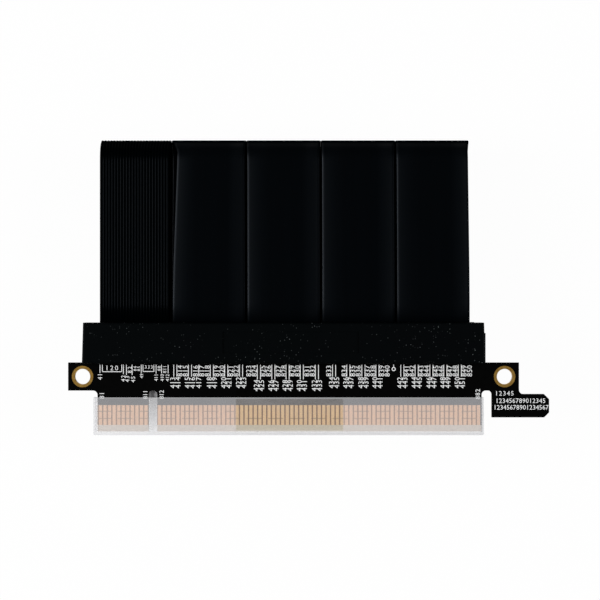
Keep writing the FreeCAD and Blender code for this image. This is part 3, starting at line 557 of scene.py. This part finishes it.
def streaked_pvc(name, tones, shine, period, levels):
    """Black soft PVC: extruded, so its tone and shine run in fine streaks along the ribbon.
    Its highlights come from the lamps, with their strength painted across the width: it follows levels, as
    millimetres across within each period and the level there. Round the first fold they are dulled, a painted
    shade."""
    material, tree = start_material(name)
    flat_place = add_node(tree, "ShaderNodeUVMap", {"uv_map": "across_and_along"})
    stretched = add_node(tree, "ShaderNodeMapping", {"Scale": (1 / STREAK_SIZE[0], 1 / STREAK_SIZE[1], 1)},
                         {"Vector": flat_place.outputs[0]})
    streaks = add_node(tree, "ShaderNodeTexNoise", {"Scale": 1.0, "Detail": 4.0},
                       {"Vector": stretched.outputs[0]})
    streak_shine = add_node(tree, "ShaderNodeMapRange", {"To Min": shine[0], "To Max": shine[1]},
                            {"Value": streaks.outputs["Fac"]})
    spot = add_node(tree, "ShaderNodeSeparateXYZ", links={"Vector": flat_place.outputs[0]})
    periods = add_node(tree, "ShaderNodeMath", {"operation": "DIVIDE", 1: period}, {0: spot.outputs["X"]})
    in_period = add_node(tree, "ShaderNodeMath", {"operation": "FRACT"}, {0: periods.outputs[0]})
    # Painted highlight: the strength of the shine across each period.
    level = add_node(tree, "ShaderNodeValToRGB", links={"Fac": in_period.outputs[0]})
    stops = level.color_ramp.elements
    while len(stops) < len(levels):
        stops.new(1.0)
    for stop, (across, share) in zip(stops, levels):
        stop.position = across / period
        stop.color = (share, share, share, 1.0)
    # Painted shade: the highlights are turned down round the first fold.
    from_fold = add_node(tree, "ShaderNodeMath", {"operation": "SUBTRACT", 1: FOLD_ALONG},
                         {0: spot.outputs["Y"]})
    fold_reach = add_node(tree, "ShaderNodeMath", {"operation": "ABSOLUTE"}, {0: from_fold.outputs[0]})
    fold_painted_shade = add_node(tree, "ShaderNodeMapRange",
                         {"interpolation_type": "SMOOTHSTEP",
                          "From Min": FOLD_DULL[0], "From Max": FOLD_DULL[1]},
                         {"Value": fold_reach.outputs[0]})
    painted_highlight_level = add_node(tree, "ShaderNodeMath", {"operation": "MULTIPLY"},
                      {0: level.outputs[0], 1: fold_painted_shade.outputs[0]})
    tone = add_node(tree, "ShaderNodeValToRGB", links={"Fac": streaks.outputs["Fac"]})
    tone.color_ramp.elements[0].color = linear(tones[0])
    tone.color_ramp.elements[1].color = linear(tones[1])
    shader = add_node(tree, "ShaderNodeBsdfPrincipled",
                      {"Specular Tint": linear("#e4f0ff"), "Specular IOR Level": levels[len(levels) // 2][1]},
                      {"Base Color": tone.outputs["Color"], "Roughness": streak_shine.outputs[0],
                       "Specular IOR Level": painted_highlight_level.outputs[0]})
    add_node(tree, "ShaderNodeOutputMaterial", links={"Surface": shader.outputs[0]})
    return material


strand_black = streaked_pvc("black_strand_pvc", ("#000101", "#010203"), (0.22, 0.26), STRAND_STEP,
                            STRAND_LEVELS)
jacket_black = streaked_pvc("black_soft_pvc", ("#010203", "#010305"), (0.38, 0.44), JACKET_STEP,
                            JACKET_LEVELS)
line = smooth_line(ROUTE)

# Fine ribbon: each strand is a round of 0.45 mm radius, and neighbours 0.635 mm apart run into each other.
# The outer halves of the first and last strands are squeezed to end on the ribbon's sides.
STRANDS = 24
STRAND_PITCH = STRAND_STEP * MM
STEPS_A_STRAND = 6
ROUNDING = 1e-9
across = np.linspace(0, STRANDS * STRAND_PITCH, STRANDS * STEPS_A_STRAND + 1)
from_middle = ((across / STRAND_PITCH + ROUNDING) % 1 - 0.5) * STRAND_PITCH
outer_half = (across < STRAND_PITCH / 2) | (across > across[-1] - STRAND_PITCH / 2)
reach = np.where(outer_half, STRAND_PITCH / 2, HALF_THICK)
strand_height = np.sqrt(np.clip(1 - (from_middle / reach) ** 2, 0, 1)) * HALF_THICK
wire_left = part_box("wire_ribbon")[0].x
wire_ribbon = lay_ribbon("wire_ribbon", wire_left, across, strand_height, np.zeros(len(across)), (0, 0),
                         (0, 0.32), strand_black)

# Shielded ribbons: smooth flat strips with round sides, which droop a little towards both sides.
# The droop grows with the square of the distance past where it starts. It is given as that start's distance
# from the side and the droop at the side, and leans and spreads as the shifts of the two sides, all in mm.
first_low, first_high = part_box("pair_ribbon_1")
PAIR_WIDTH = first_high.x - first_low.x
LEFT_DROOP = (4.5, 0.45)
RIGHT_DROOP = (2.6, 0.28)
LEANS = [(1.1, -0.1), (-0.05, -0.1), (-0.1, -0.15), (-0.15, -0.4)]
SPREADS = [(-0.32, 0.23), (-0.23, 0.23), (-0.23, 0.23), (-0.23, 0)]
SIDE_ROUND = 0.28 * MM
SIDE_POINTS = 9
FLAT_POINTS = 41
turned = np.linspace(0, math.pi / 2, SIDE_POINTS)
round_side = (1 - np.cos(turned)) * SIDE_ROUND
middle_part = np.linspace(SIDE_ROUND, PAIR_WIDTH - SIDE_ROUND, FLAT_POINTS)[1:-1]
across = np.concatenate([[0], round_side, middle_part, PAIR_WIDTH - round_side[::-1], [PAIR_WIDTH]])
from_round = np.clip(1 - np.minimum(across, PAIR_WIDTH - across) / SIDE_ROUND, 0, 1)
half = HALF_THICK - SIDE_ROUND * (1 - np.sqrt(1 - from_round ** 2))
half[[0, -1]] = 0
droop = LEFT_DROOP[1] * np.clip(1 - across / (LEFT_DROOP[0] * MM), 0, 1) ** 2
droop += RIGHT_DROOP[1] * np.clip(1 - (PAIR_WIDTH - across) / (RIGHT_DROOP[0] * MM), 0, 1) ** 2
for number, (lean, spread) in enumerate(zip(LEANS, SPREADS), start=1):
    node_name = f"pair_ribbon_{number}"
    pair_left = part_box(node_name)[0].x
    pair = lay_ribbon(node_name, pair_left, across, half, droop * MM, lean, spread, jacket_black)

# Overmoulds and slot housing
# Glass-filled black plastic, moulded in spark-eroded tools: fine grain, dull shine, and some pale dust
# that has settled in the grain. Both are drawn coarser than they are, so that they show. The overmoulds
# are moulded round the boards' ends and the ribbons, and the housing is moulded by itself.
moulded, tree = start_material("black_moulded_nylon")
place = add_node(tree, "ShaderNodeTexCoord")
grit = add_node(tree, "ShaderNodeTexNoise", {"Scale": 1 / (0.3 * MM), "Detail": 4.0},
                {"Vector": place.outputs["Object"]})
grit_bump = add_node(tree, "ShaderNodeBump", {"Strength": 0.5, "Distance": 0.05 * MM},
                     {"Height": grit.outputs["Fac"]})
dust_cells = add_node(tree, "ShaderNodeTexVoronoi", {"Scale": 1 / (0.5 * MM)},
                      {"Vector": place.outputs["Object"]})
dust_spot = add_node(tree, "ShaderNodeMapRange",
                     {"From Min": 0.1, "From Max": 0.24, "To Min": 1.0, "To Max": 0.0},
                     {"Value": dust_cells.outputs["Distance"]})
dust_cell = add_node(tree, "ShaderNodeSeparateColor", links={"Color": dust_cells.outputs["Color"]})
dust_cloud = add_node(tree, "ShaderNodeTexNoise", {"Scale": 1 / (7 * MM)},
                      {"Vector": place.outputs["Object"]})
dust_chance = add_node(tree, "ShaderNodeMath", {"operation": "MULTIPLY"},
                       {0: dust_cell.outputs["Red"], 1: dust_cloud.outputs["Fac"]})
dust_some = add_node(tree, "ShaderNodeMapRange", {"From Min": 0.38, "From Max": 0.7},
                     {"Value": dust_chance.outputs[0]})
dust = add_node(tree, "ShaderNodeMath", {"operation": "MULTIPLY"},
                {0: dust_spot.outputs[0], 1: dust_some.outputs[0]})
moulded_tone = add_node(tree, "ShaderNodeMix",
                        {"data_type": "RGBA", 6: linear("#010304"), 7: linear("#64696a")},
                        {0: dust.outputs[0]})
moulded_shine = add_node(tree, "ShaderNodeMapRange", {"To Min": 0.45, "To Max": 0.65},
                         {"Value": grit.outputs["Fac"]})
moulded_shader = add_node(tree, "ShaderNodeBsdfPrincipled", {"Specular IOR Level": 0.03},
                          {"Base Color": moulded_tone.outputs[2], "Roughness": moulded_shine.outputs[0],
                           "Normal": grit_bump.outputs[0]})
add_node(tree, "ShaderNodeOutputMaterial", links={"Surface": moulded_shader.outputs[0]})
for part in ("edge_overmould", "slot_overmould", "slot_housing"):
    dress(part, moulded)

# Finger cover and film
# A thin sleeve of milky polyethylene, slipped over the fingers to keep them clean, with a patch of
# clear amber film inside. Where the film wets the wall, less light scatters and the sleeve is clearer.
# The haze is the share of light that the wall stops, and depths and places are in millimetres.
HAZE = 0.185
HAZE_UNEVEN = 0.02
HAZE_AT_FILM = 0.14
HAZE_OVER_GOLD = 0.1
HAZE_AT_LIP = 0.28
LIP_DEPTH = 0.3
HAZE_AT_RIM = 0.34
RIM_DEPTH = 0.6
# The key notch's middle, the half widths over which the painted shadow behind it fades, and the haze in that
# shadow
KEY_X = -30.0
KEY_HALF = (0.8, 1.1)
HAZE_IN_KEY_SHADOW = 0.5
cover_low, cover_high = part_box("finger_cover")

milky, tree = start_material("milky_polyethylene")
place = add_node(tree, "ShaderNodeTexCoord")
spot = add_node(tree, "ShaderNodeSeparateXYZ", links={"Vector": place.outputs["Object"]})
cloud = add_node(tree, "ShaderNodeTexNoise", {"Scale": 1 / (6 * MM), "Detail": 3.0},
                 {"Vector": place.outputs["Object"]})
from_film = add_node(tree, "ShaderNodeMath", {"operation": "ABSOLUTE"}, {0: spot.outputs["X"]})
in_film = add_node(tree, "ShaderNodeMath", {"operation": "LESS_THAN", 1: film_high.x},
                   {0: from_film.outputs[0]})
below_film = add_node(tree, "ShaderNodeMath", {"operation": "LESS_THAN", 1: film_high.y},
                      {0: spot.outputs["Y"]})
above_film = add_node(tree, "ShaderNodeMath", {"operation": "GREATER_THAN", 1: film_low.y},
                      {0: spot.outputs["Y"]})
film_band = add_node(tree, "ShaderNodeMath", {"operation": "MULTIPLY"},
                     {0: below_film.outputs[0], 1: above_film.outputs[0]})
wetted = add_node(tree, "ShaderNodeMath", {"operation": "MULTIPLY"},
                  {0: film_band.outputs[0], 1: in_film.outputs[0]})
on_gold = add_node(tree, "ShaderNodeMath", {"operation": "LESS_THAN", 1: WINDOW_CORNER.y},
                   {0: spot.outputs["Y"]})
wet_haze = add_node(tree, "ShaderNodeMapRange", {"To Min": HAZE_AT_FILM, "To Max": HAZE_OVER_GOLD},
                    {"Value": on_gold.outputs[0]})
haze = add_node(tree, "ShaderNodeMapRange", {"To Min": HAZE},
                {"Value": wetted.outputs[0], "To Max": wet_haze.outputs[0]})
lip = add_node(tree, "ShaderNodeMapRange",
               {"From Min": cover_high.y - LIP_DEPTH * MM, "From Max": cover_high.y,
                "To Min": 0.0, "To Max": HAZE_AT_LIP - HAZE},
               {"Value": spot.outputs["Y"]})
uneven = add_node(tree, "ShaderNodeMapRange", {"To Min": -HAZE_UNEVEN, "To Max": HAZE_UNEVEN},
                  {"Value": cloud.outputs["Fac"]})
with_lip = add_node(tree, "ShaderNodeMath", {"operation": "ADD"}, {0: haze.outputs[0], 1: lip.outputs[0]})
from_left = add_node(tree, "ShaderNodeMath", {"operation": "SUBTRACT", 1: cover_low.x},
                     {0: spot.outputs["X"]})
from_right = add_node(tree, "ShaderNodeMath", {"operation": "SUBTRACT", 0: cover_high.x},
                      {1: spot.outputs["X"]})
from_floor = add_node(tree, "ShaderNodeMath", {"operation": "SUBTRACT", 1: cover_low.y},
                      {0: spot.outputs["Y"]})
from_side = add_node(tree, "ShaderNodeMath", {"operation": "MINIMUM"},
                     {0: from_left.outputs[0], 1: from_right.outputs[0]})
from_rim = add_node(tree, "ShaderNodeMath", {"operation": "MINIMUM"},
                    {0: from_side.outputs[0], 1: from_floor.outputs[0]})
at_rim = add_node(tree, "ShaderNodeMath", {"operation": "LESS_THAN", 1: RIM_DEPTH * MM},
                  {0: from_rim.outputs[0]})
rim_haze = add_node(tree, "ShaderNodeMapRange", {"To Min": 0.0, "To Max": HAZE_AT_RIM - HAZE},
                    {"Value": at_rim.outputs[0]})
with_rim = add_node(tree, "ShaderNodeMath", {"operation": "ADD"},
                    {0: with_lip.outputs[0], 1: rim_haze.outputs[0]})
hazed = add_node(tree, "ShaderNodeMath", {"operation": "ADD"},
                 {0: with_rim.outputs[0], 1: uneven.outputs[0]})
# Painted shadow of the board: the back wall is greyer and hazier behind the board's key notch, most of all at
# the lip.
from_key = add_node(tree, "ShaderNodeMath", {"operation": "SUBTRACT", 1: KEY_X * MM},
                    {0: spot.outputs["X"]})
key_aside = add_node(tree, "ShaderNodeMath", {"operation": "ABSOLUTE"}, {0: from_key.outputs[0]})
in_key = add_node(tree, "ShaderNodeMapRange", {"From Min": KEY_HALF[0] * MM, "From Max": KEY_HALF[1] * MM,
                                               "To Min": 1.0, "To Max": 0.0}, {"Value": key_aside.outputs[0]})
up_key = add_node(tree, "ShaderNodeMapRange", {"From Min": cover_low.y, "From Max": cover_high.y},
                  {"Value": spot.outputs["Y"]})
behind = add_node(tree, "ShaderNodeMath", {"operation": "LESS_THAN", 1: (cover_low.z + cover_high.z) / 2},
                  {0: spot.outputs["Z"]})
key_shadow_fade = add_node(tree, "ShaderNodeMath", {"operation": "MULTIPLY"},
                    {0: in_key.outputs[0], 1: up_key.outputs[0]})
key_painted_shadow = add_node(tree, "ShaderNodeMath", {"operation": "MULTIPLY"},
                    {0: key_shadow_fade.outputs[0], 1: behind.outputs[0]})
key_shadow_haze = add_node(tree, "ShaderNodeMapRange", {"To Min": 0.0, "To Max": HAZE_IN_KEY_SHADOW - HAZE},
                    {"Value": key_painted_shadow.outputs[0]})
solidness = add_node(tree, "ShaderNodeMath", {"operation": "ADD"},
                     {0: hazed.outputs[0], 1: key_shadow_haze.outputs[0]})
# Painted shade at the rim: within the rim depth of the sides and the bottom the wall is greyer. It is
# lightest at the left end, and darker towards the middle and over the right half.
rim_shade_across = add_node(tree, "ShaderNodeMapRange", {"From Min": cover_low.x, "From Max": 0.0},
                      {"Value": spot.outputs["X"]})
painted_rim_shade = add_node(tree, "ShaderNodeMix", {"data_type": "RGBA", 6: linear("#e8e8ec"), 7: linear("#c8c8cc")},
                    {0: rim_shade_across.outputs[0]})
milky_tone = add_node(tree, "ShaderNodeMix", {"data_type": "RGBA", 6: linear("#f8f8fb")},
                      {0: at_rim.outputs[0], 7: painted_rim_shade.outputs[2]})
# Painted shadow: behind the key notch the back wall's tone turns to this grey.
wall_tone_and_shadow = add_node(tree, "ShaderNodeMix", {"data_type": "RGBA", 7: linear("#5a5a60")},
                     {0: key_painted_shadow.outputs[0], 6: milky_tone.outputs[2]})
milky_shader = add_node(tree, "ShaderNodeBsdfPrincipled",
                        {"Roughness": 0.45, "Specular IOR Level": 0.3},
                        {"Base Color": wall_tone_and_shadow.outputs[2], "Alpha": solidness.outputs[0]})
add_node(tree, "ShaderNodeOutputMaterial", links={"Surface": milky_shader.outputs[0]})
dress("finger_cover", milky)

# Pull tab: a short thick tongue of the back wall, which reaches up behind the key notch and is seen through
# it. Its outline is a rounded square, with x and y the fifth roots of a circle's, and is carried up from
# below with eased edges.
TAB_HALF = 1.7 * MM
TAB_TOP = -9.5 * MM
TAB_SINK = 0.3 * MM
TAB_INSET = 0.1 * MM
TAB_GAP = 0.03 * MM
TAB_STEPS = 48
TAB_ROOT = 5
tab_base = cover_high.y - TAB_SINK
tab_levels = np.array([cover_low.z, cover_low.z, board_low.z, board_low.z])
tab_levels += np.array([TAB_INSET, 2 * TAB_INSET, -TAB_GAP - TAB_INSET, -TAB_GAP])
tab_eased = np.array([TAB_INSET, 0, 0, TAB_INSET])
turn = -2 * math.pi * np.arange(TAB_STEPS) / TAB_STEPS
tab_square = np.stack([np.cos(turn), np.sin(turn)], axis=1)
tab_square = np.sign(tab_square) * np.abs(tab_square) ** (1 / TAB_ROOT)
tab_reach = np.array([TAB_HALF, (TAB_TOP - tab_base) / 2])
tab_rings = np.empty((len(tab_levels), TAB_STEPS, 3))
tab_rings[..., :2] = tab_square[None] * (tab_reach[None] - tab_eased[:, None])[:, None, :]
tab_rings[..., :2] += (KEY_X * MM, (TAB_TOP + tab_base) / 2)
tab_rings[..., 2] = tab_levels[:, None]
pull_tab = closed_tube("cover_tab", tab_rings, turn, tab_levels / MM)
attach(pull_tab, "root")

# Thick polyethylene: the sleeve's own plastic, thick enough to look solid, with faint marks of its flow.
thick_milky, tree = start_material("thick_polyethylene")
place = add_node(tree, "ShaderNodeTexCoord")
flow = add_node(tree, "ShaderNodeTexNoise", {"Scale": 1 / (1.5 * MM)}, {"Vector": place.outputs["Object"]})
flow_tone = add_node(tree, "ShaderNodeValToRGB", links={"Fac": flow.outputs["Fac"]})
flow_tone.color_ramp.elements[0].color = linear("#e6e6ea")
flow_tone.color_ramp.elements[1].color = linear("#f4f4f8")
tab_shader = add_node(tree, "ShaderNodeBsdfPrincipled", {"Roughness": 0.45, "Specular IOR Level": 0.3},
                      {"Base Color": flow_tone.outputs["Color"]})
add_node(tree, "ShaderNodeOutputMaterial", links={"Surface": tab_shader.outputs[0]})
pull_tab.data.materials.append(thick_milky)

# Amber film: clear and slightly rippled. Its tint shows mostly on the gold and the laminate under it.
amber, tree = start_material("amber_film")
place = add_node(tree, "ShaderNodeTexCoord")
ripple = add_node(tree, "ShaderNodeTexNoise", {"Scale": 1 / (3 * MM)}, {"Vector": place.outputs["Object"]})
amber_body = add_node(tree, "ShaderNodeMapRange", {"To Min": 0.015, "To Max": 0.03},
                      {"Value": ripple.outputs["Fac"]})
amber_shader = add_node(tree, "ShaderNodeBsdfPrincipled",
                        {"Base Color": linear("#d09c1c"), "Roughness": 0.25, "Specular IOR Level": 0.3},
                        {"Alpha": amber_body.outputs[0]})
add_node(tree, "ShaderNodeOutputMaterial", links={"Surface": amber_shader.outputs[0]})
dress("finger_film", amber)

# Studio
# A white table top, two soft boxes low at the sides and even light from all round, with the camera
# straight above.
FLOOR_HALF = 2.0
FLOOR_GAP = 0.05 * MM
FLOOR_WHITE_SHARE = 0.97
AIR_LIGHT = 0.2
LAMP_AIM = (0, 0.01, 0.01)
CAMERA_MIDDLE = (2.29 * MM, 9.41 * MM)
CAMERA_HEIGHT = 520.8 * MM
FRAME_WIDTH = 131.69 * MM
FRAME_LEVEL = 20.8 * MM
SENSOR = 36.0
CAMERA_NEAR = 0.01

floor_mesh = bpy.data.meshes.new("table_top")
floor_corners = np.array([(-1, -1, 0), (1, -1, 0), (1, 1, 0), (-1, 1, 0)]) * FLOOR_HALF
floor_corners[:, 2] = -FLOOR_GAP
floor_mesh.from_pydata(floor_corners, [], [(0, 1, 2, 3)])
table_top = bpy.data.objects.new("table_top", floor_mesh)
bpy.context.scene.collection.objects.link(table_top)

paper, tree = start_material("white_table_paper")
paper_shader = add_node(tree, "ShaderNodeBsdfDiffuse", {"Color": linear("#f2f2f2")})
paper_glow = add_node(tree, "ShaderNodeEmission", {"Strength": 1.0})
rays = add_node(tree, "ShaderNodeLightPath")
mirrored = add_node(tree, "ShaderNodeMath", {"operation": "MAXIMUM"},
                    {0: rays.outputs["Is Glossy Ray"], 1: rays.outputs["Is Transmission Ray"]})
seen = add_node(tree, "ShaderNodeMath", {"operation": "MAXIMUM"},
                {0: rays.outputs["Is Camera Ray"], 1: mirrored.outputs[0]})
seen_share = add_node(tree, "ShaderNodeMath", {"operation": "MULTIPLY", 1: FLOOR_WHITE_SHARE},
                      {0: seen.outputs[0]})
paper_mix = add_node(tree, "ShaderNodeMixShader", links={0: seen_share.outputs[0], 1: paper_shader.outputs[0],
                                                        2: paper_glow.outputs[0]})
add_node(tree, "ShaderNodeOutputMaterial", links={"Surface": paper_mix.outputs[0]})
floor_mesh.materials.append(paper)

world = bpy.data.worlds.new("studio_air")
bpy.context.scene.world = world
world.use_nodes = True
world.node_tree.nodes.clear()
air = add_node(world.node_tree, "ShaderNodeBackground", {"Color": linear("#ffffff"), "Strength": AIR_LIGHT})
add_node(world.node_tree, "ShaderNodeOutputWorld", links={"Surface": air.outputs[0]})


def soft_box(name, position, width, height, power):
    """A rectangular lamp that faces the middle of the cable."""
    lamp = bpy.data.lights.new(name, "AREA")
    lamp.shape = "RECTANGLE"
    lamp.size = width
    lamp.size_y = height
    lamp.energy = power
    holder = bpy.data.objects.new(name, lamp)
    holder.location = position
    aim = Vector(LAMP_AIM) - holder.location
    holder.rotation_euler = aim.to_track_quat("-Z", "Y").to_euler()
    bpy.context.scene.collection.objects.link(holder)


soft_box("left_box", position=(-0.8, 0.02, 0.55), width=0.35, height=0.9, power=9.0)
soft_box("right_box", position=(0.8, 0.0, 0.5), width=0.3, height=0.9, power=5.3)

camera_data = bpy.data.cameras.new("camera")
camera_data.sensor_width = SENSOR
camera_data.lens = SENSOR * (CAMERA_HEIGHT - FRAME_LEVEL) / FRAME_WIDTH
camera_data.clip_start = CAMERA_NEAR
camera = bpy.data.objects.new("camera", camera_data)
camera.location = (*CAMERA_MIDDLE, CAMERA_HEIGHT)
bpy.context.scene.collection.objects.link(camera)
bpy.context.scene.camera = camera
bpy.context.scene.view_settings.view_transform = "Standard"
